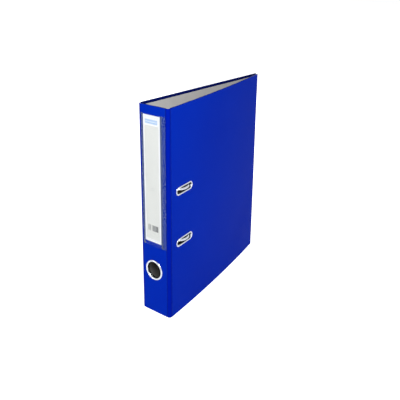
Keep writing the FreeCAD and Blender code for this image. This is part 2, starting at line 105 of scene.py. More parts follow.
def on_front_cover(depth, level, height):
    """Depth runs along the cover's chord from the case corner, level stands out of its bowed outer face.
    The face is a circle of bow_radius through both ends of the chord, and the chord leans in by `lean`."""
    turn = np.arcsin((depth - cover_depth / 2) / bow_radius)
    out = bow - bow_radius + (bow_radius + level) * np.cos(turn)
    along = cover_depth / 2 + (bow_radius + level) * np.sin(turn)
    return np.stack([front_corner[0] + out * math.cos(lean) - along * math.sin(lean),
                     case_front + out * math.sin(lean) + along * math.cos(lean),
                     height + 0 * out], axis=-1)


def on_back_cover(depth, level, height):
    """A flat face at the back corner: depth along Y, level towards -X."""
    return np.stack([back_corner[0] - level + 0 * depth, case_front + depth, height + 0 * depth], axis=-1)


def on_spine(across, level, height):
    """A flat face across the case: level towards -Y."""
    return np.stack([across + 0 * level, case_front - level + 0 * across, height + 0 * across], axis=-1)


# %% [markdown]
# ## Meshes from arrays
# A surface here is a function of two parameters, worked out on a whole grid at once with numpy. The grid's
# neighbours become four-sided faces. A profile carried along a closed path is the same thing, with both
# parameters running round.

# %% Mesh helpers
def cells_of(number):
    """The four corners of every cell between neighbouring point numbers."""
    return np.stack([number[:-1, :-1], number[1:, :-1], number[1:, 1:], number[:-1, 1:]], axis=-1)


def grid_faces(rows, columns, ring_rows=False, ring_columns=False):
    """Four corners for every cell of a grid of numbered points; a ring joins the last row to the first."""
    number = np.arange(rows * columns).reshape(rows, columns)
    if ring_rows:
        number = np.vstack([number, number[:1]])
    if ring_columns:
        number = np.hstack([number, number[:, :1]])
    return cells_of(number).reshape(-1, 4)


def make_piece(name, points, faces, finish, body, stands_for=()):
    """Put points and faces in a mesh, give it its finish, and let it ride on a CAD body."""
    mesh = bpy.data.meshes.new(name)
    mesh.from_pydata(np.asarray(points).reshape(-1, 3).tolist(), [], np.asarray(faces).tolist())
    mesh.polygons.foreach_set("use_smooth", np.ones(len(mesh.polygons), bool))
    mesh.update()
    piece = bpy.data.objects.new(name, mesh)
    bpy.context.scene.collection.objects.link(piece)
    for one in (finish if isinstance(finish, (list, tuple)) else [finish]):
        mesh.materials.append(one)
    if body:
        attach(piece, body)
    if stands_for:
        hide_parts(*stands_for)
    print(name, len(mesh.polygons), "faces")
    return piece


def rounded_edges(piece, width, steps, angle):
    """Roll every edge sharper than `angle` to a small radius, and keep the flats flat in the shading."""
    bevel = piece.modifiers.new("rounded edges", "BEVEL")
    bevel.width, bevel.segments = width, steps
    bevel.limit_method, bevel.angle_limit = "ANGLE", math.radians(angle)
    bevel.harden_normals = True


def thickened(piece, thickness, inside_finish=0, rim_finish=0):
    """Give a sheet its thickness on the inner side; the inner side and the rim may take another finish."""
    wall = piece.modifiers.new("thickness", "SOLIDIFY")
    wall.thickness, wall.offset = thickness, -1
    wall.material_offset, wall.material_offset_rim = inside_finish, rim_finish


# %% [markdown]
# ## Shader building blocks
# Every finish is made of nodes and reads the object's own coordinates, which are real metres here, so a
# scale of 1000 means grains one millimetre apart. Effects that several finishes share are node groups:
# slow drift of colour, fine grain, hairline scuffs, dust, and wear along board edges.

# %% Node helpers
def fill(tree, socket, value):
    """Feed an input: another node's socket by a link, a plain value straight on the input."""
    if isinstance(value, bpy.types.NodeSocket):
        tree.links.new(value, socket)
    else:
        socket.default_value = value


def add(tree, kind, settings=None, **links):
    """Add a node; each keyword names an input (underscores for spaces) and gives a value or a socket."""
    node = tree.nodes.new("ShaderNode" + kind)
    for key, value in (settings or {}).items():
        setattr(node, key, value)
    for key, value in links.items():
        numbered = key[0] == "i" and key[1:].isdigit()
        fill(tree, node.inputs[int(key[1:]) if numbered else key.replace("_", " ")], value)
    return node


def math_node(tree, operation, a, b=0.0, clamp=False):
    """One sum on two values or sockets."""
    return add(tree, "Math", {"operation": operation, "use_clamp": clamp}, i0=a, i1=b).outputs[0]


def colour(red, green, blue):
    """A colour as it looks on a screen, 0 to 255, in the linear numbers that shaders use."""
    share = np.array([red, green, blue]) / 255
    linear = np.where(share <= 0.04045, share / 12.92, ((share + 0.055) / 1.055) ** 2.4)
    return (*linear.tolist(), 1.0)


def blend_colours(tree, factor, a, b):
    """Mix two colours by a mask."""
    mix = add(tree, "Mix", {"data_type": "RGBA"})
    for socket, value in ((mix.inputs["Factor"], factor), (mix.inputs[6], a), (mix.inputs[7], b)):
        fill(tree, socket, value)
    return mix.outputs[2]


def new_group(name, inputs, outputs):
    """An empty node group with named inputs and outputs; each input is (name, kind, default)."""
    group = bpy.data.node_groups.new(name, "ShaderNodeTree")
    for label, kind, default in inputs:
        socket = group.interface.new_socket(label, in_out="INPUT", socket_type="NodeSocket" + kind)
        if default is not None:
            socket.default_value = default
    for label, kind in outputs:
        group.interface.new_socket(label, in_out="OUTPUT", socket_type="NodeSocket" + kind)
    return group, group.nodes.new("NodeGroupInput").outputs, group.nodes.new("NodeGroupOutput").inputs


def use(tree, group, **values):
    """Place a group in a material and fill its inputs."""
    node = tree.nodes.new("ShaderNodeGroup")
    node.node_tree = group
    for key, value in values.items():
        fill(tree, node.inputs[key.replace("_", " ")], value)
    return node.outputs


# %% Shared effects
drift, inputs, outputs = new_group(
    "tone_drift", [("Vector", "Vector", None), ("Scale", "Float", 20.0), ("First", "Color", None),
                   ("Second", "Color", None)], [("Color", "Color")])
cloud = add(drift, "TexNoise", Vector=inputs["Vector"], Scale=inputs["Scale"], Detail=4.0, Roughness=0.6)
soft = add(drift, "MapRange", Value=cloud.outputs["Fac"], From_Min=0.3, From_Max=0.7)
drift.links.new(blend_colours(drift, soft.outputs[0], inputs["First"], inputs["Second"]), outputs["Color"])

grain, inputs, outputs = new_group(
    "fine_grain", [("Vector", "Vector", None), ("Fine", "Float", 1500.0), ("Coarse", "Float", 40.0),
                   ("Coarse Share", "Float", 0.5)], [("Height", "Float")])
fine = add(grain, "TexNoise", Vector=inputs["Vector"], Scale=inputs["Fine"], Detail=2.0, Roughness=0.5)
coarse = add(grain, "TexNoise", Vector=inputs["Vector"], Scale=inputs["Coarse"], Detail=2.0, Roughness=0.5)
swell = math_node(grain, "MULTIPLY", coarse.outputs["Fac"], inputs["Coarse Share"])
grain.links.new(math_node(grain, "ADD", fine.outputs["Fac"], swell), outputs["Height"])

scuffs, inputs, outputs = new_group(
    "hairline_scuffs", [("Vector", "Vector", None), ("Scale", "Float", 60.0), ("Amount", "Float", 0.1)],
    [("Mask", "Float")])
found = 0.0
for turn, stretch in (((0.2, 0.9, 0.1), (1, 1, 0.05)), ((0.8, -0.4, 0.5), (0.06, 1, 1)),
                      ((-0.5, 0.3, 1.2), (1, 0.05, 1))):
    turned = add(scuffs, "Mapping", Vector=inputs["Vector"], Rotation=turn, Scale=stretch)
    lines = add(scuffs, "TexNoise", Vector=turned.outputs[0], Scale=inputs["Scale"], Detail=8.0,
                Roughness=0.75)
    ridge = math_node(scuffs, "ABSOLUTE", math_node(scuffs, "SUBTRACT", lines.outputs["Fac"], 0.5))
    sharp = add(scuffs, "MapRange", Value=ridge, From_Min=0.0, From_Max=0.012, To_Min=1.0, To_Max=0.0)
    found = math_node(scuffs, "MAXIMUM", found, sharp.outputs[0])
patches = add(scuffs, "TexNoise", Vector=inputs["Vector"], Scale=14.0, Detail=3.0)
where = add(scuffs, "MapRange", Value=patches.outputs["Fac"], From_Min=0.45, From_Max=0.7)
found = math_node(scuffs, "MULTIPLY", found, where.outputs[0])
found = math_node(scuffs, "MULTIPLY", found, inputs["Amount"])
scuffs.links.new(found, outputs["Mask"])

dust, inputs, outputs = new_group(
    "dust_specks", [("Vector", "Vector", None), ("Scale", "Float", 260.0), ("Amount", "Float", 0.5)],
    [("Mask", "Float")])
cells = add(dust, "TexVoronoi", Vector=inputs["Vector"], Scale=inputs["Scale"])
speck = add(dust, "MapRange", Value=cells.outputs["Distance"], From_Min=0.05, From_Max=0.11, To_Min=1.0,
            To_Max=0.0)
lucky = add(dust, "MapRange", Value=add(dust, "SeparateColor", Color=cells.outputs["Color"]).outputs[0],
            From_Min=0.80, From_Max=0.82)
speck = math_node(dust, "MULTIPLY", math_node(dust, "MULTIPLY", speck.outputs[0], lucky.outputs[0]),
                  inputs["Amount"])
dust.links.new(speck, outputs["Mask"])

worn, inputs, outputs = new_group(
    "edge_wear", [("Vector", "Vector", None), ("Distance", "Float", 1.0), ("Width", "Float", 0.002),
                  ("Amount", "Float", 0.5)], [("Mask", "Float")])
near = math_node(worn, "SUBTRACT", 1.0, math_node(worn, "DIVIDE", inputs["Distance"], inputs["Width"]), True)
broken = add(worn, "TexNoise", Vector=inputs["Vector"], Scale=220.0, Detail=5.0, Roughness=0.7)
broken = add(worn, "MapRange", Value=broken.outputs["Fac"], From_Min=0.42, From_Max=0.62)
mask = math_node(worn, "MULTIPLY", math_node(worn, "MULTIPLY", near, broken.outputs[0]), inputs["Amount"])
worn.links.new(mask, outputs["Mask"])

printed, inputs, outputs = new_group(
    "printed_box", [("Vector", "Vector", None), ("Middle", "Vector", None), ("Half", "Vector", None),
                    ("Softness", "Float", 0.0001)], [("Mask", "Float")])
away = add(printed, "VectorMath", {"operation": "SUBTRACT"}, i0=inputs["Vector"], i1=inputs["Middle"])
away = add(printed, "VectorMath", {"operation": "ABSOLUTE"}, i0=away.outputs[0])
inside = add(printed, "VectorMath", {"operation": "SUBTRACT"}, i0=inputs["Half"], i1=away.outputs[0])
inside = add(printed, "SeparateXYZ", Vector=inside.outputs[0]).outputs
least = math_node(printed, "MINIMUM", inside["X"], inside["Z"])
mask = math_node(printed, "ADD", math_node(printed, "DIVIDE", least, inputs["Softness"]), 0.5, True)
printed.links.new(mask, outputs["Mask"])
print("node groups", [group.name for group in bpy.data.node_groups])


# %% Helpers for finishes
def new_finish(name):
    """An empty material: its tree, its shader, and the object's own coordinates."""
    finish = bpy.data.materials.new(name)
    finish.use_nodes = True
    tree = finish.node_tree
    place = tree.nodes.new("ShaderNodeTexCoord").outputs["Object"]
    return finish, tree, tree.nodes["Principled BSDF"], place


def plug(tree, shader, **values):
    """Fill the shader's inputs: plain numbers straight on the socket, sockets by a link."""
    for key, value in values.items():
        fill(tree, shader.inputs[key.replace("_", " ")], value)


def drifting(tree, place, scale, first, second):
    """A tone that wanders slowly between two near colours."""
    return use(tree, drift, Vector=place, Scale=scale, First=first, Second=second)["Color"]


def grained(tree, place, fine, coarse, coarse_share):
    """A height with a fine grain and a slower swell under it."""
    return use(tree, grain, Vector=place, Fine=fine, Coarse=coarse, Coarse_Share=coarse_share)["Height"]


def bumped(tree, height, distance, strength=1.0, after=None):
    """Turn a height into a tilted normal; `after` chains it behind another bump."""
    bump = add(tree, "Bump", Height=height, Distance=distance, Strength=strength)
    if after is not None:
        tree.links.new(after, bump.inputs["Normal"])
    return bump.outputs[0]


def varied(tree, mask, low, high):
    """A value that runs from low to high with a mask."""
    return add(tree, "MapRange", Value=mask, To_Min=low, To_Max=high).outputs[0]


# %% [markdown]
# ## Cover film
# The boards are wrapped in coloured polypropylene film: even, saturated, satin, with a faint emboss and the
# board's slow waviness showing through. Round the board's rim, where it is turned in under the lining, the
# film is painted nearly navy: painted shade on edges that face away from the light. Handling leaves hairlines
# that are only seen in the gloss, and the film pales a little where it is pulled over board edges. Each board
# stores how far every point is from its nearest edge, so the wear and the painted edge shade follow the edges
# on any piece.

# %% Blue film
film_blue, film_blue_deep, film_pale = colour(1, 40, 168), colour(1, 37, 163), colour(60, 98, 196)


def blue_film(name, first, second, roughness, wear, shade):
    """A drifting blue that pales by `wear` and takes painted shade, darker by `shade`, where edge_distance is
    small.
    """
    finish, tree, shader, place = new_finish(name)
    tone = drifting(tree, place, 9.0, first, second)
    distance = add(tree, "Attribute", {"attribute_name": "edge_distance"}).outputs["Fac"]
    rubbed = use(tree, worn, Vector=place, Distance=distance, Width=1.2 * mm, Amount=wear)["Mask"]
    rim = add(tree, "MapRange", Value=distance, From_Min=0.03 * mm, From_Max=0.3 * mm, To_Min=1.0, To_Max=0.0)
    specks = use(tree, dust, Vector=place, Scale=170.0, Amount=0.35)["Mask"]
    hairlines = use(tree, scuffs, Vector=place, Scale=30.0, Amount=0.5)["Mask"]
    tone = blend_colours(tree, rubbed, tone, film_pale)
    # Painted shade: within 0.3 mm of the board's edge the blue darkens to navy by `shade`.
    tone = blend_colours(tree, math_node(tree, "MULTIPLY", rim.outputs[0], shade), tone, colour(3, 7, 52))
    tone = blend_colours(tree, math_node(tree, "MULTIPLY", specks, 0.3), tone, colour(120, 140, 200))
    smear = add(tree, "TexNoise", Vector=place, Scale=16.0, Detail=4.0).outputs["Fac"]
    rough = varied(tree, smear, roughness - 0.04, roughness + 0.05)
    rough = math_node(tree, "ADD", rough, math_node(tree, "MULTIPLY", hairlines, 0.25), True)
    emboss = grained(tree, place, 1400.0, 22.0, 8.0)
    normal = bumped(tree, emboss, 0.02 * mm, 0.6)
    normal = bumped(tree, hairlines, -0.01 * mm, 0.5, normal)
    plug(tree, shader, Base_Color=tone, Roughness=rough, Normal=normal, IOR=1.49, Specular_IOR_Level=0.008,
         Specular_Tint=(0.12, 0.3, 1.0, 1.0))
    return finish


cover_film = blue_film("cover_film", film_blue, film_blue_deep, 0.38, 0.25, 0.95)
# Painted shade: the rim and inner side of each board take this dark navy film, for edges the light hardly
# reaches.
turned_film = blue_film("turned_film", colour(8, 22, 96), colour(7, 19, 88), 0.4, 0.0, 0.0)
# Painted shade: the crease film is a darker blue than the boards', standing in for shade in the crease.
crease_film = blue_film("crease_film", colour(1, 26, 156), colour(1, 24, 150), 0.32, 0.0, 0.0)
print("films", cover_film.name, turned_film.name, crease_film.name)

# %% [markdown]
# ## Lining paper
# Inside, the boards are lined with uncoated grey-white paper that is slightly mottled and shows short
# fibres. A fine grain and a few darker flecks are enough, because paper has almost no gloss. To light bouncing
# off it the paper is painted dark grey: painted shade that keeps the closed file as dark inside as it is
# behind its finger ring.

# %% Paper finishes
lining_paper, tree, shader, place = new_finish("lining_paper")
tone = drifting(tree, place, 35.0, colour(204, 202, 200), colour(196, 194, 192))
fleck = add(tree, "Mapping", Vector=place, Rotation=(0.4, 0.3, 0.7), Scale=(1, 1, 0.25))
fleck = add(tree, "TexNoise", Vector=fleck.outputs[0], Scale=900.0, Detail=3.0, Roughness=0.7).outputs["Fac"]
fleck = add(tree, "MapRange", Value=fleck, From_Min=0.62, From_Max=0.72).outputs[0]
tone = blend_colours(tree, math_node(tree, "MULTIPLY", fleck, 0.35), tone, colour(150, 150, 146))
# Painted shade: light that bounces off the paper sees it dark grey, so the file's inside stays dark.
shade_on_bounces = tree.nodes.new("ShaderNodeLightPath").outputs["Is Diffuse Ray"]
tone = blend_colours(tree, shade_on_bounces, tone, colour(46, 46, 45))
fibres = grained(tree, place, 2200.0, 120.0, 0.8)
plug(tree, shader, Base_Color=tone, Roughness=varied(tree, fibres, 0.82, 0.95), Specular_IOR_Level=0.25,
     Normal=bumped(tree, fibres, 0.03 * mm, 0.8))

label_low, label_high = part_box("label_card")
label_middle = (label_low + label_high) / 2
label_paper, tree, shader, place = new_finish("label_paper")
paper = drifting(tree, place, 60.0, colour(240, 242, 244), colour(236, 238, 240))


def print_on_label(tone, ink, across, up, half_across, half_up, strength=1.0):
    """One printed box; across and up are measured from the middle of the card's face."""
    mask = use(tree, printed, Vector=place, Middle=(label_middle.x + across, 0, label_middle.z + up),
               Half=(half_across, 1, half_up))["Mask"]
    return blend_colours(tree, math_node(tree, "MULTIPLY", mask, strength), tone, ink)


# %% Print on the label
half_card = (label_high.x - label_low.x) / 2
card_top = (label_high.z - label_low.z) / 2
panel_ink, pale_ink, pale_line = colour(220, 222, 218), colour(150, 188, 232), colour(236, 244, 252)
grey_ink, bar_ink = colour(128, 132, 138), colour(70, 72, 76)
heading_across, heading_up = -0.5 * mm, card_top - 9 * mm
paper = print_on_label(paper, panel_ink, 0, -5 * mm, half_card - 2.4 * mm, card_top - 9.5 * mm)
paper = print_on_label(paper, pale_ink, heading_across, heading_up, 11.2 * mm, 3.0 * mm, 0.8)
paper = print_on_label(paper, pale_line, heading_across, heading_up, 10.4 * mm, 0.35 * mm)
for down, reach in ((14 * mm, 5 * mm), (11 * mm, 3.4 * mm)):
    paper = print_on_label(paper, grey_ink, 0, -down, reach, 0.45 * mm, 0.28)
first_bar, bar_pitch, gap_after_third, bars_up = -8.6, 1.9, 2.4, 22 * mm - card_top
for step, half_bar in enumerate((0.5, 0.4, 0.5, 0.8, 0.6, 0.8, 0.6, 0.9, 0.8)):
    bar_across = first_bar + bar_pitch * step + (gap_after_third if step > 2 else 0)
    paper = print_on_label(paper, bar_ink, bar_across * mm, bars_up, half_bar * mm, 4.6 * mm, 0.9)
paper_grain = grained(tree, place, 2600.0, 80.0, 0.4)
plug(tree, shader, Base_Color=paper, Roughness=varied(tree, paper_grain, 0.45, 0.6),
     Normal=bumped(tree, paper_grain, 0.01 * mm, 0.5))
print("paper finishes made")

# %% [markdown]
# ## Metals
# Rings, eyelets, posts and the arch wire are bright nickel over steel: smooth, a touch warm, with fine
# hairlines. The base plate and lever are pressed from zinc-plated sheet, which is greyer, cloudier and
# brushed along its length. The springs are plain hardened steel, darker still.

# %% Metal finishes
def metal(name, first, second, roughness, brushed, hairline=0.15, drift_scale=120.0):
    """A plated steel: drifting tone, brush lines along Z, and hairlines that scatter the gloss."""
    finish, tree, shader, place = new_finish(name)
    tone = drifting(tree, place, drift_scale, first, second)
    marks = use(tree, scuffs, Vector=place, Scale=140.0, Amount=1.0)["Mask"]
    stretched = add(tree, "Mapping", Vector=place, Scale=(1, 1, 0.04))
    lines = add(tree, "TexNoise", Vector=stretched.outputs[0], Scale=4000.0, Detail=3.0).outputs["Fac"]
    rough = varied(tree, lines, roughness * 0.8, roughness * 1.25)
    rough = math_node(tree, "ADD", rough, math_node(tree, "MULTIPLY", marks, hairline), True)
    normal = bumped(tree, lines, brushed, 0.5)
    normal = bumped(tree, marks, -0.004 * mm, 0.6, normal)
    plug(tree, shader, Base_Color=tone, Metallic=1.0, Roughness=rough, Normal=normal)
    return finish


nickel = metal("nickel", colour(236, 240, 246), colour(226, 230, 238), 0.16, 0.002 * mm)
zinc_steel = metal("zinc_steel", colour(206, 209, 213), colour(184, 188, 194), 0.32, 0.006 * mm, 0.25, 45.0)
spring_steel = metal("spring_steel", colour(128, 131, 136), colour(104, 108, 114), 0.3, 0.004 * mm)
print("metals", nickel.name, zinc_steel.name, spring_steel.name)

# %% [markdown]
# ## Roller plastic and clear film
# The lever's roller is moulded in black nylon. The label pocket is clear film, welded along both sides and
# the bottom. It is nearly invisible over the card, hazy on the blue film close beside the card and clearer
# again towards its edges, with a faint weld line. Its opacity is painted by how far a point is from the card.

# %% Plastic finishes
roller_plastic, tree, shader, place = new_finish("roller_plastic")
tone = drifting(tree, place, 300.0, colour(34, 34, 36), colour(24, 24, 26))
moulded = grained(tree, place, 2500.0, 200.0, 0.6)
plug(tree, shader, Base_Color=tone, Roughness=varied(tree, moulded, 0.35, 0.5),
     Normal=bumped(tree, moulded, 0.01 * mm, 0.6))

clear_film, tree, shader, place = new_finish("clear_film")
pocket_low, pocket_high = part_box("label_pocket")
pocket_middle = (pocket_low + pocket_high) / 2
over_card = use(tree, printed, Vector=place, Middle=(label_middle.x, 0, pocket_low.z),
                Half=(half_card + 0.6 * mm, 1, 1), Softness=0.8 * mm)["Mask"]
near_card = use(tree, printed, Vector=place, Middle=(label_middle.x, 0, pocket_low.z),
                Half=(half_card + 3 * mm, 1, 1), Softness=6 * mm)["Mask"]
milky = add(tree, "Attribute", {"attribute_name": "weld"}).outputs["Fac"]
haze = add(tree, "TexNoise", Vector=place, Scale=90.0, Detail=4.0).outputs["Fac"]
smudge = use(tree, scuffs, Vector=place, Scale=50.0, Amount=0.35)["Mask"]
opacity = math_node(tree, "MULTIPLY", varied(tree, near_card, 0.13, 0.42), varied(tree, over_card, 1.0, 0.1))
opacity = math_node(tree, "ADD", opacity, math_node(tree, "MULTIPLY", milky, 0.05))
opacity = math_node(tree, "ADD", opacity, math_node(tree, "MULTIPLY", smudge, 0.06), True)
opacity = math_node(tree, "MULTIPLY", opacity, varied(tree, haze, 0.85, 1.15), True)
tone = drifting(tree, place, 25.0, colour(104, 124, 138), colour(92, 112, 128))
waves = grained(tree, place, 500.0, 45.0, 6.0)
plug(tree, shader, Base_Color=tone, Alpha=opacity, Roughness=varied(tree, haze, 0.1, 0.22),
     Normal=bumped(tree, waves, 0.02 * mm, 0.5))
print("finishes", sorted(material.name for material in bpy.data.materials))

# %% [markdown]
# ## Finishes on the measured parts
# The parts whose shape is already right keep their own meshes and only take a finish. The list goes by
# finish, so it reads like a maker's parts list.

# %% Give every part its finish
part_finishes = {
    cover_film: ["back_board", "back_cover_film", "spine_board", "spine_film", "front_board",
                 "front_cover_film"],
    crease_film: ["back_hinge_strip", "front_hinge_strip"],
    lining_paper: ["back_cover_lining", "spine_lining", "front_cover_lining"],
    nickel: ["finger_ring", "finger_ring_washer", "upper_slot_eyelet", "lower_slot_eyelet",
             "upper_slot_washer", "lower_slot_washer", "arch_bow", "upper_post", "lower_post",
             "mechanism_rivets", "spring_rivet", "lever_pivot_pins", "roller_pin", "compressor_rivet"],
    zinc_steel: ["base_plate", "lever", "compressor_bar"],
    spring_steel: ["leaf_spring", "compressor_spring"],
    clear_film: ["label_pocket"],
    label_paper: ["label_card"],
    roller_plastic: ["pressure_roller"],
}
for finish, names in part_finishes.items():
    for name in names:
        parts[name].data.materials.clear()
        parts[name].data.materials.append(finish)
dressed = sum(len(names) for names in part_finishes.values())
print("parts with a finish", dressed, "of", len(parts))

# %% [markdown]
# ## Wrapped boards
# Each cover is a board about 2 mm thick with film pulled over its edges, so no edge is sharp. The face is a
# grid in depth and height with holes left for the eyelets or the ring. A modifier gives the sheet the
# board's thickness and another rolls the edges. Around each hole the grid is replaced by rings of points
# that run from the hole's outline to the block's border, so the hole is truly round.

# %% A sheet with holes
def spaced(low, high, marks=(), fine=(0.5, 1.2, 2.5, 5, 9), step=12.0):
    """Grid lines from low to high: fine steps in millimetres beside both ends, even steps between, and
    lines at every mark."""
    edge = np.array((0,) + fine) * mm
    lines = np.concatenate([low + edge, high - edge, np.asarray(marks, float)])
    middle = np.linspace(low, high, int((high - low) / (step * mm)))[1:-1]
    room = 0.35 * step * mm
    keep = np.abs(middle[:, None] - lines[None, :]).min(axis=1) > room
    return np.unique(np.round(np.concatenate([lines, middle[keep]]), 7))


def holed_sheet(us, vs, holes):
    """Points (u, v) and faces of a flat sheet. A hole is (u, v, half length, radius, half block u, half
    block v): every point within the radius of a short line along u. Its block is filled by rings that
    slide evenly from the hole's outline to the block's border."""
    u, v = np.meshgrid(us, vs, indexing="ij")
    points = [np.stack([u, v], axis=-1).reshape(-1, 2)]
    number = np.arange(u.size).reshape(u.shape)
    keep = np.ones((len(us) - 1, len(vs) - 1), bool)
    faces, count = [], u.size
    for mid_u, mid_v, half, radius, block_u, block_v in holes:
        left, right = (int(np.argmin(np.abs(us - (mid_u + side * block_u)))) for side in (-1, 1))
        low, high = (int(np.argmin(np.abs(vs - (mid_v + side * block_v)))) for side in (-1, 1))
        keep[left:right, low:high] = False
        border = np.concatenate([number[left:right, low], number[right, low:high],
                                 number[right:left:-1, high], number[left, high:low:-1]])
        outer = points[0][border]
        core = np.stack([np.clip(outer[:, 0], mid_u - half, mid_u + half), np.full(len(outer), mid_v)], -1)
        away = outer - core
        inner = core + away * (radius / np.linalg.norm(away, axis=1))[:, None]
        shares = np.array([0.0, 0.3, 0.65])
        rings = inner[None] + (outer - inner)[None] * shares[:, None, None]
        points.append(rings.reshape(-1, 2))
        added = len(shares) * len(border)
        numbers = np.vstack([count + np.arange(added).reshape(-1, len(border)), border])
        count += added
        closed = np.hstack([numbers, numbers[:, :1]])
        faces.append(cells_of(closed).reshape(-1, 4))
    return np.vstack(points), np.vstack([cells_of(number)[keep]] + faces)


def remember_edges(piece, flat, low, high):
    """Store on every point how far it is from the nearest edge of the board, in metres."""
    reach = np.minimum(flat - np.asarray(low), np.asarray(high) - flat).min(axis=1)
    layer = piece.data.attributes.new("edge_distance", "FLOAT", "POINT")
    layer.data.foreach_set("value", np.maximum(reach, 0).astype(np.float32))


def wrapped_board(name, place_on, low_u, high_u, holes, body, stands_for, marks_u=(), marks_v=(),
                  flip=False):
    """A holed sheet of full height put on one face of the case, then given the board's thickness."""
    us, vs = spaced(low_u, high_u, marks_u), spaced(0.0, case_height, marks_v)
    flat, faces = holed_sheet(us, vs, holes)
    points = place_on(flat[:, 0], 0.0, flat[:, 1])
    piece = make_piece(name, points, faces[:, ::-1] if flip else faces, [cover_film, turned_film], body,
                       stands_for)
    remember_edges(piece, flat, (low_u, 0), (high_u, case_height))
    # The rim and the inner side take the second finish, the dark navy of painted shade.
    thickened(piece, film_and_board, inside_finish=1, rim_finish=1)
    rounded_edges(piece, 0.55 * mm, steps=3, angle=40)


# %% Front cover, spine and back cover
slot_depth, slot_core, slot_radius = 38.5 * mm, 14.8 * mm, 4.2 * mm
slot_seat = slot_radius + 0.55 * mm              # radius of the hole in the board, round the eyelet's tube
slot_block_u, slot_block_v = 24 * mm, 12 * mm    # half of the patch that is filled by rings of points
slot_heights = []
for which in ("upper", "lower"):
    washer_low, washer_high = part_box(f"{which}_slot_washer")
    slot_heights.append((washer_low.z + washer_high.z) / 2)
slot_holes = [(slot_depth, z, slot_core, slot_seat, slot_block_u, slot_block_v) for z in slot_heights]
slot_marks_u = slot_depth + np.linspace(-1, 1, 17) * slot_block_u
slot_marks_v = np.concatenate([z + np.linspace(-1, 1, 7) * slot_block_v for z in slot_heights])
wrapped_board("front_cover_panel", on_front_cover, crease, cover_depth, slot_holes, "front_cover",
              ("front_board", "front_cover_film"), slot_marks_u, slot_marks_v)

ring_low, ring_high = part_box("finger_ring")
ring_x, ring_z = (ring_low.x + ring_high.x) / 2, (ring_low.z + ring_high.z) / 2
ring_bore, ring_seat, ring_block = 12.8 * mm, 13.65 * mm, 18.5 * mm
ring_hole = [(ring_x, ring_z, 0.0, ring_seat, ring_block, ring_block)]
ring_marks = np.linspace(-1, 1, 13) * ring_block
wrapped_board("spine_panel", on_spine, back_corner[0] + crease, front_corner[0] - crease, ring_hole, "spine",
              ("spine_board", "spine_film"), ring_x + ring_marks, ring_z + ring_marks)
wrapped_board("back_cover_panel", on_back_cover, crease, cover_depth, [], "back_cover",
              ("back_board", "back_cover_film"), flip=True)

# %% [markdown]
# ## Creases
# Between two boards there is only film and lining, and it bends round the corner. The film dips where it
# leaves each board, which draws a fine line there. The strip is a curve through both board edges, carried up
# the case. It is not attached to either body.

# %% Crease strips
film_and_lining = 0.45 * mm
strip_short = 0.3 * mm                           # the strip stops just short of the boards' ends


def crease_strip(name, start, corner, end, stands_for):
    """A cubic curve from start to end that leans on the corner: p = sum of the four Bernstein shares. It
    dips inwards near both ends and runs on a little way under each board's film."""
    start, corner, end = (np.array(point) for point in (start, corner, end))
    lean_a, lean_b = start + 0.6 * (corner - start), end + 0.6 * (corner - end)
    share = np.concatenate([[0, 0], np.linspace(0, 1, 33), [1, 1]])[:, None]
    rest = 1 - share
    curve = (rest ** 3 * start + 3 * share * rest ** 2 * lean_a
             + 3 * share ** 2 * rest * lean_b + share ** 3 * end)
    centre = start + end - corner
    inward = (centre - curve) / np.linalg.norm(centre - curve, axis=1)[:, None]
    near_ends = np.exp(-(share / 0.09) ** 2) + np.exp(-(rest / 0.09) ** 2)
    dip = (0.35 * near_ends + 0.10) * mm
    curve = curve + inward * dip
    to_a = (start - corner) / np.linalg.norm(start - corner)
    to_b = (end - corner) / np.linalg.norm(end - corner)
    for row, way, beyond in ((0, to_a, 1.2), (1, to_a, 0.5), (-2, to_b, 0.5), (-1, to_b, 1.2)):
        curve[row] += way * beyond * mm
    heights = spaced(strip_short, case_height - strip_short)
    points = np.empty((len(curve), len(heights), 3))
    points[..., :2] = curve[:, None, :]
    points[..., 2] = heights[None, :]
    piece = make_piece(name, points, grid_faces(len(curve), len(heights)), [crease_film, lining_paper], None,
                       stands_for)
    thickened(piece, film_and_lining, inside_finish=1)
    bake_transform(piece)


front_start = on_front_cover(np.array(crease), 0.0, np.array(0.0))[:2]
crease_strip("front_crease", (front_corner[0] - crease, case_front), front_corner[:2], front_start,
             ("front_hinge_strip",))
crease_strip("back_crease", (back_corner[0], case_front + crease), back_corner[:2],
             (back_corner[0] + crease, case_front), ("back_hinge_strip",))

# %% [markdown]
# ## Rolled metal rings
# The slot eyelets and the finger ring are thin sheet rolled over the film: a tube through the board that
# turns out into a rounded rim. Each is one profile, given as (distance from the opening, height above the
# film), carried round a closed path: a round-ended slot or a circle.

# %% Profiles carried round a path
def quarter(centre, reach, turn_from, turn_to, steps=9):
    """Points of an ellipse's arc: centre plus reach times (cosine, sine)."""
    turn = np.radians(np.linspace(turn_from, turn_to, steps))
    return np.stack([centre[0] + reach[0] * np.cos(turn), centre[1] + reach[1] * np.sin(turn)], -1)


def full_turn(steps):
    """Even angles once round, without coming back to the first."""
    return np.linspace(0, 2 * np.pi, steps + 1)[:-1]


def slot_path(core, end_steps=24, run_steps=7):
    """Where each step's centre is and which way it looks, round a slot of two half circles and two runs."""
    run = np.linspace(1, -1, run_steps + 2)[1:-1] * core
    middle = np.concatenate([np.full(end_steps, core), run, np.full(end_steps, -core), -run])
    turn = np.radians(np.concatenate([np.linspace(-90, 90, end_steps), np.full(run_steps, 90.0),
                                      np.linspace(90, 270, end_steps), np.full(run_steps, 270.0)]))
    return middle, np.stack([np.cos(turn), np.sin(turn)], -1)


def circle_path(steps=128):
    """The same for a circle: one centre, looking each way in turn."""
    turn = full_turn(steps)
    return np.zeros(steps), np.stack([np.cos(turn), np.sin(turn)], -1)


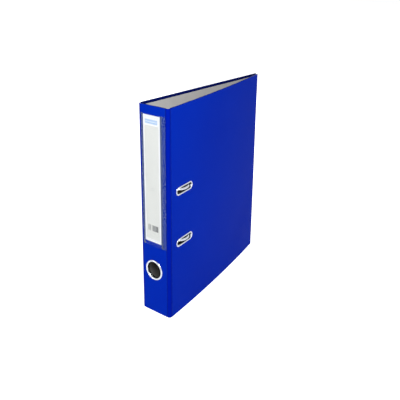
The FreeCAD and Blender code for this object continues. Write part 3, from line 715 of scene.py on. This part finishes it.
def rolled_ring(name, place_on, mid_u, mid_v, core, radius, profile, finish, body, stands_for):
    """Carry a closed profile round the path; a point is the path's centre plus its look times the reach."""
    middle, look = slot_path(core) if core else circle_path()
    reach = radius + profile[None, :, 0]
    u = mid_u + middle[:, None] + look[:, :1] * reach
    v = mid_v + look[:, 1:] * reach
    level = np.broadcast_to(profile[None, :, 1], u.shape)
    faces = grid_faces(len(middle), len(profile), ring_rows=True, ring_columns=True)
    make_piece(name, place_on(u, level, v), faces, finish, body, stands_for)


# %% Slot eyelets and finger ring
slot_tube = [[0, -2.9], [0, -1.4]]
slot_back = [[1.9, -0.1], [0.5, -0.1], [0.5, -2.9]]
slot_profile = np.vstack([slot_tube, quarter((0.7, -0.05), (0.7, 0.65), 180, 90),
                          quarter((1.35, -0.02), (0.65, 0.62), 90, 0), slot_back]) * mm
for which, z in zip(("upper", "lower"), slot_heights):
    rolled_ring(f"{which}_slot_rim", on_front_cover, slot_depth, z, slot_core, slot_radius, slot_profile,
                nickel, "front_cover", (f"{which}_slot_eyelet",))

ring_tube = [[0, -3.1], [0, -1.2]]
ring_back = [[3.1, -0.1], [0.8, -0.1], [0.8, -3.1]]
ring_profile = np.vstack([ring_tube, quarter((1.7, -0.1), (1.7, 1.68), 180, 90, 13),
                          quarter((1.7, -0.02), (1.5, 1.6), 90, 0, 13), ring_back]) * mm
rolled_ring("finger_ring_rim", on_spine, ring_x, ring_z, 0.0, ring_bore, ring_profile, nickel, "spine",
            ("finger_ring",))

# %% [markdown]
# ## Rivets
# Four large-headed rivets hold the mechanism. Outside they have shallow domes that lie on the film; inside,
# their ends are rolled over the base plate. One profile turned round the rivet's axis makes each, and all
# four are one piece because they are one part.

# %% Domed rivets
rivet_low, rivet_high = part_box("mechanism_rivets")
head_radius, shank_radius, half_spread = 5 * mm, 2 * mm, 24 * mm
dome = quarter((0, 0), (5.0, 1.15), 90, 4, 12) * mm
outer_head = np.stack([dome[:, 0], back_corner[0] - dome[:, 1]], -1)
shank_top = [[shank_radius, back_corner[0] + 0.02 * mm]]
rolled_end = np.array([[2, -1], [3.5, -0.95], [3.5, -0.6], [2.9, -0.1], [2.3, 0], [1.7, -0.3],
                       [0, -0.35]]) * mm
rivet_profile = np.vstack([outer_head, shank_top, rolled_end + [0, rivet_high.x]])
near_row, far_row = rivet_low.y + head_radius, rivet_high.y - head_radius
rivet_mid_z = (rivet_low.z + rivet_high.z) / 2
rivet_spots = [(near_row, rivet_low.z + head_radius), (near_row, rivet_high.z - head_radius),
               (far_row, rivet_mid_z - half_spread), (far_row, rivet_mid_z + half_spread)]
reach, out = rivet_profile[:, 0], rivet_profile[:, 1]
round_trip = full_turn(48)[:, None]
rivet_points, rivet_faces = [], []
for number, (y, z) in enumerate(rivet_spots):
    depths = np.broadcast_to(out, (len(round_trip), len(out)))
    ring = np.stack([depths, y + np.cos(round_trip) * reach, z + np.sin(round_trip) * reach], -1)
    rivet_points.append(ring.reshape(-1, 3))
    rivet_faces.append(grid_faces(len(round_trip), len(out), ring_rows=True) + number * depths.size)
rivets = make_piece("mechanism_rivet_heads", np.vstack(rivet_points), np.vstack(rivet_faces), nickel,
                    "back_cover", ("mechanism_rivets",))


def closed_up(piece):
    """Merge points that fell on one spot, such as poles, and turn all faces outwards."""
    shell = bmesh.new()
    shell.from_mesh(piece.data)
    bmesh.ops.remove_doubles(shell, verts=shell.verts, dist=1e-6)
    bmesh.ops.recalc_face_normals(shell, faces=shell.faces)
    shell.to_mesh(piece.data)
    shell.free()


closed_up(rivets)

# %% [markdown]
# ## Pressed parts
# The base plate, the lever and the sheet clamp are stamped and bent from steel sheet, so their edges are
# slightly round and catch the light. Their shapes are already measured: a merged copy of each gets rolled
# edges and stands for the part.

# %% Softened copies
def pressed(node, name, finish, body, width):
    """A copy of a measured part with doubles merged and flat triangles joined, then its edges rolled."""
    shell = bmesh.new()
    shell.from_mesh(parts[node].data)
    bmesh.ops.remove_doubles(shell, verts=shell.verts, dist=2e-6)
    bmesh.ops.dissolve_limit(shell, angle_limit=math.radians(1.0), verts=shell.verts, edges=shell.edges)
    for face in shell.faces:
        face.smooth = True
    mesh = bpy.data.meshes.new(name)
    shell.to_mesh(mesh)
    shell.free()
    mesh.materials.append(finish)
    piece = bpy.data.objects.new(name, mesh)
    bpy.context.scene.collection.objects.link(piece)
    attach(piece, body)
    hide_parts(node)
    rounded_edges(piece, width, steps=2, angle=32)
    print(name, len(mesh.polygons), "faces")


pressed("base_plate", "pressed_base_plate", zinc_steel, "back_cover", 0.2 * mm)
pressed("lever", "pressed_lever", zinc_steel, "lever", 0.25 * mm)
pressed("compressor_bar", "pressed_compressor_bar", zinc_steel, "compressor", 0.2 * mm)
pressed("pressure_roller", "turned_roller", roller_plastic, "roller", 0.35 * mm)

# %% [markdown]
# ## Label pocket
# A clear sheet welded to the spine on three sides and open at the top, with the card inside. The sheet lies
# flat on the film at its welded margins and steps up over the card. Its height is a smooth step of the
# distance from the margin, and the weld itself is a fine line stored as a mask for the finish.

# %% The clear sheet
def smooth_step(x):
    """Zero below 0, one above 1, and 3x^2 - 2x^3 between."""
    x = np.clip(x, 0, 1)
    return x * x * (3 - 2 * x)


half_pocket = (pocket_high.x - pocket_low.x) / 2
weld_steps = np.array([0, 0.2, 0.5, 0.8, 1, 1.2, 1.5, 1.8, 2.2, 2.6]) * mm
across = np.concatenate([np.linspace(-1, 1, 41) * half_pocket, half_pocket - weld_steps,
                         weld_steps - half_pocket])
across = np.unique(np.round(across, 7))
up = spaced(pocket_low.z, pocket_high.z, fine=(0.4, 0.8, 1.2, 1.6, 2.2, 3, 4, 5, 6, 7, 8), step=10.0)
sideways, height = np.meshgrid(across, up, indexing="ij")
side_margin = half_pocket - np.abs(sideways)
bottom_margin = height - pocket_low.z
pocket_share = bottom_margin / (pocket_high.z - pocket_low.z)

lift = smooth_step((side_margin - 1.3 * mm) / (1.5 * mm))
lift = lift * smooth_step((bottom_margin - 3.2 * mm) / (3.0 * mm))
slack = 0.10 * mm * np.sin(np.pi * pocket_share) * np.cos(sideways / half_pocket)
lying_level, step_up = 0.14 * mm, 0.42 * mm
level = lying_level + (step_up + slack) * lift
window_points = on_spine(pocket_middle.x + sideways, level, height)
sheet = make_piece("label_window", window_points, grid_faces(len(across), len(up)), clear_film, "spine",
                   ("label_pocket",))

side_weld = np.exp(-((side_margin - 1.0 * mm) / (0.3 * mm)) ** 2)
bottom_weld = np.exp(-((bottom_margin - 2.4 * mm) / (0.35 * mm)) ** 2)
cut_edge = np.exp(-(side_margin / (0.25 * mm)) ** 2)
weld = np.maximum(side_weld + bottom_weld, cut_edge)
layer = sheet.data.attributes.new("weld", "FLOAT", "POINT")
layer.data.foreach_set("value", np.clip(weld, 0, 1).astype(np.float32).ravel())
thickened(sheet, 0.08 * mm)

# %% [markdown]
# ## Studio
# The file stands on a pale floor in soft light. A soft box above the near corner, where the spine meets the
# front cover, carries most of the light. A second one in front lifts the spine and a third lights the back
# cover. The sky is brightest overhead. The floor is seen as white; it also gives off some light of its own,
# but not where the file covers it, so that the closed file stays dark inside.

# %% Floor
floor_reach = 6.0
floor_corners = [(x * floor_reach, y * floor_reach, 0) for x, y in ((-1, -1), (1, -1), (1, 1), (-1, 1))]
studio_paper, tree, shader, place = new_finish("studio_paper")
floor = make_piece("studio_floor", floor_corners, [(0, 1, 2, 3)], studio_paper, None)
tone = drifting(tree, place, 2.0, colour(250, 250, 250), colour(247, 247, 247))
split = add(tree, "SeparateXYZ", Vector=place).outputs
narrowing = math_node(tree, "MULTIPLY", math_node(tree, "SUBTRACT", split["Y"], case_front), -math.tan(lean))
to_cover = math_node(tree, "SUBTRACT", math_node(tree, "ADD", narrowing, front_corner[0]), split["X"])
to_back = math_node(tree, "SUBTRACT", split["X"], back_corner[0])
to_ends = math_node(tree, "SUBTRACT", cover_depth / 2, math_node(tree, "ABSOLUTE", split["Y"]))
inmost = math_node(tree, "MINIMUM", math_node(tree, "MINIMUM", to_cover, to_back), to_ends)
clear = add(tree, "MapRange", Value=inmost, From_Min=-4 * mm, From_Max=1 * mm, To_Min=1.0, To_Max=0.0)
rays = tree.nodes.new("ShaderNodeLightPath").outputs
glow_given, glow_in_metal, glow_seen = 0.26, 0.15, 0.75
glow = varied(tree, rays["Is Glossy Ray"], glow_given, glow_in_metal)
glow = math_node(tree, "MULTIPLY", clear.outputs[0], glow)
glow = varied(tree, rays["Is Camera Ray"], glow, glow_seen)
plug(tree, shader, Base_Color=tone, Roughness=0.9, Specular_IOR_Level=0.1, Emission_Color=(1, 1, 1, 1),
     Emission_Strength=glow)


# %% Lights and sky
def soft_box(name, place_at, look_at, width, power):
    """A square area light that faces a point."""
    lamp = bpy.data.lights.new(name, "AREA")
    lamp.shape, lamp.size, lamp.energy = "SQUARE", width, power
    holder = bpy.data.objects.new(name, lamp)
    bpy.context.scene.collection.objects.link(holder)
    holder.location = place_at
    way = np.array(look_at) - np.array(place_at)
    holder.rotation_euler = (math.atan2(math.hypot(way[0], way[1]), -way[2]), 0, math.atan2(-way[0], way[1]))


soft_box("soft_box_key", (0.42, -0.46, 0.66), (0.02, -0.12, 0.19), 0.35, 4.4)
soft_box("soft_box_left", (-0.6, -1.1, 0.45), (0, -0.1, 0.16), 0.5, 2.3)
soft_box("soft_box_back", (-0.7, 1.1, 0.6), (0, 0, 0.16), 0.8, 5)
world = bpy.data.worlds.new("studio_sky")
bpy.context.scene.world = world
world.use_nodes = True
tree = world.node_tree
rays = tree.nodes.new("ShaderNodeLightPath").outputs
sky = tree.nodes["Background"]
sky_way = tree.nodes.new("ShaderNodeTexCoord").outputs["Generated"]
upward = add(tree, "SeparateXYZ", Vector=sky_way).outputs["Z"]
sky_level, sky_top, sky_in_metal, sky_seen = 0.11, 0.95, 0.75, 1.0
strength = varied(tree, math_node(tree, "MULTIPLY", upward, upward), sky_level, sky_top)
strength = varied(tree, rays["Is Glossy Ray"], strength, sky_in_metal)
strength = varied(tree, rays["Is Camera Ray"], strength, sky_seen)
tree.links.new(strength, sky.inputs["Strength"])
sky.inputs["Color"].default_value = (1, 1, 1, 1)
bpy.context.scene.view_settings.view_transform = "Standard"
print("lights", [light.name for light in bpy.data.lights])

# %% [markdown]
# ## Camera
# The camera stands off the near corner, above the file and looking down at it, so that the spine and the
# front cover both show. A small lens shift frames the file without tilting the view further.

# %% Camera
row_shift = (0.895 * mm, -141.7 * mm)            # from the case's own corner frame to the measured parts'
camera_turn, camera_down, camera_roll = 0.6736, 0.3505, 0.01
camera_data = bpy.data.cameras.new("camera")
camera = bpy.data.objects.new("camera", camera_data)
bpy.context.scene.collection.objects.link(camera)
camera_data.sensor_width = 36.0
camera_data.lens = 54.0
camera_data.shift_y = -0.0675
camera.location = (534.55 * mm + row_shift[0], -567.41 * mm + row_shift[1], 507.83 * mm)
camera_way = Matrix.Rotation(camera_turn, 3, "Z") @ Matrix.Rotation(math.pi / 2 - camera_down, 3, "X")
camera.rotation_euler = (camera_way @ Matrix.Rotation(camera_roll, 3, "Z")).to_euler()
bpy.context.scene.camera = camera
print("camera %.0f mm lens at" % camera_data.lens, [round(v, 3) for v in camera.location])
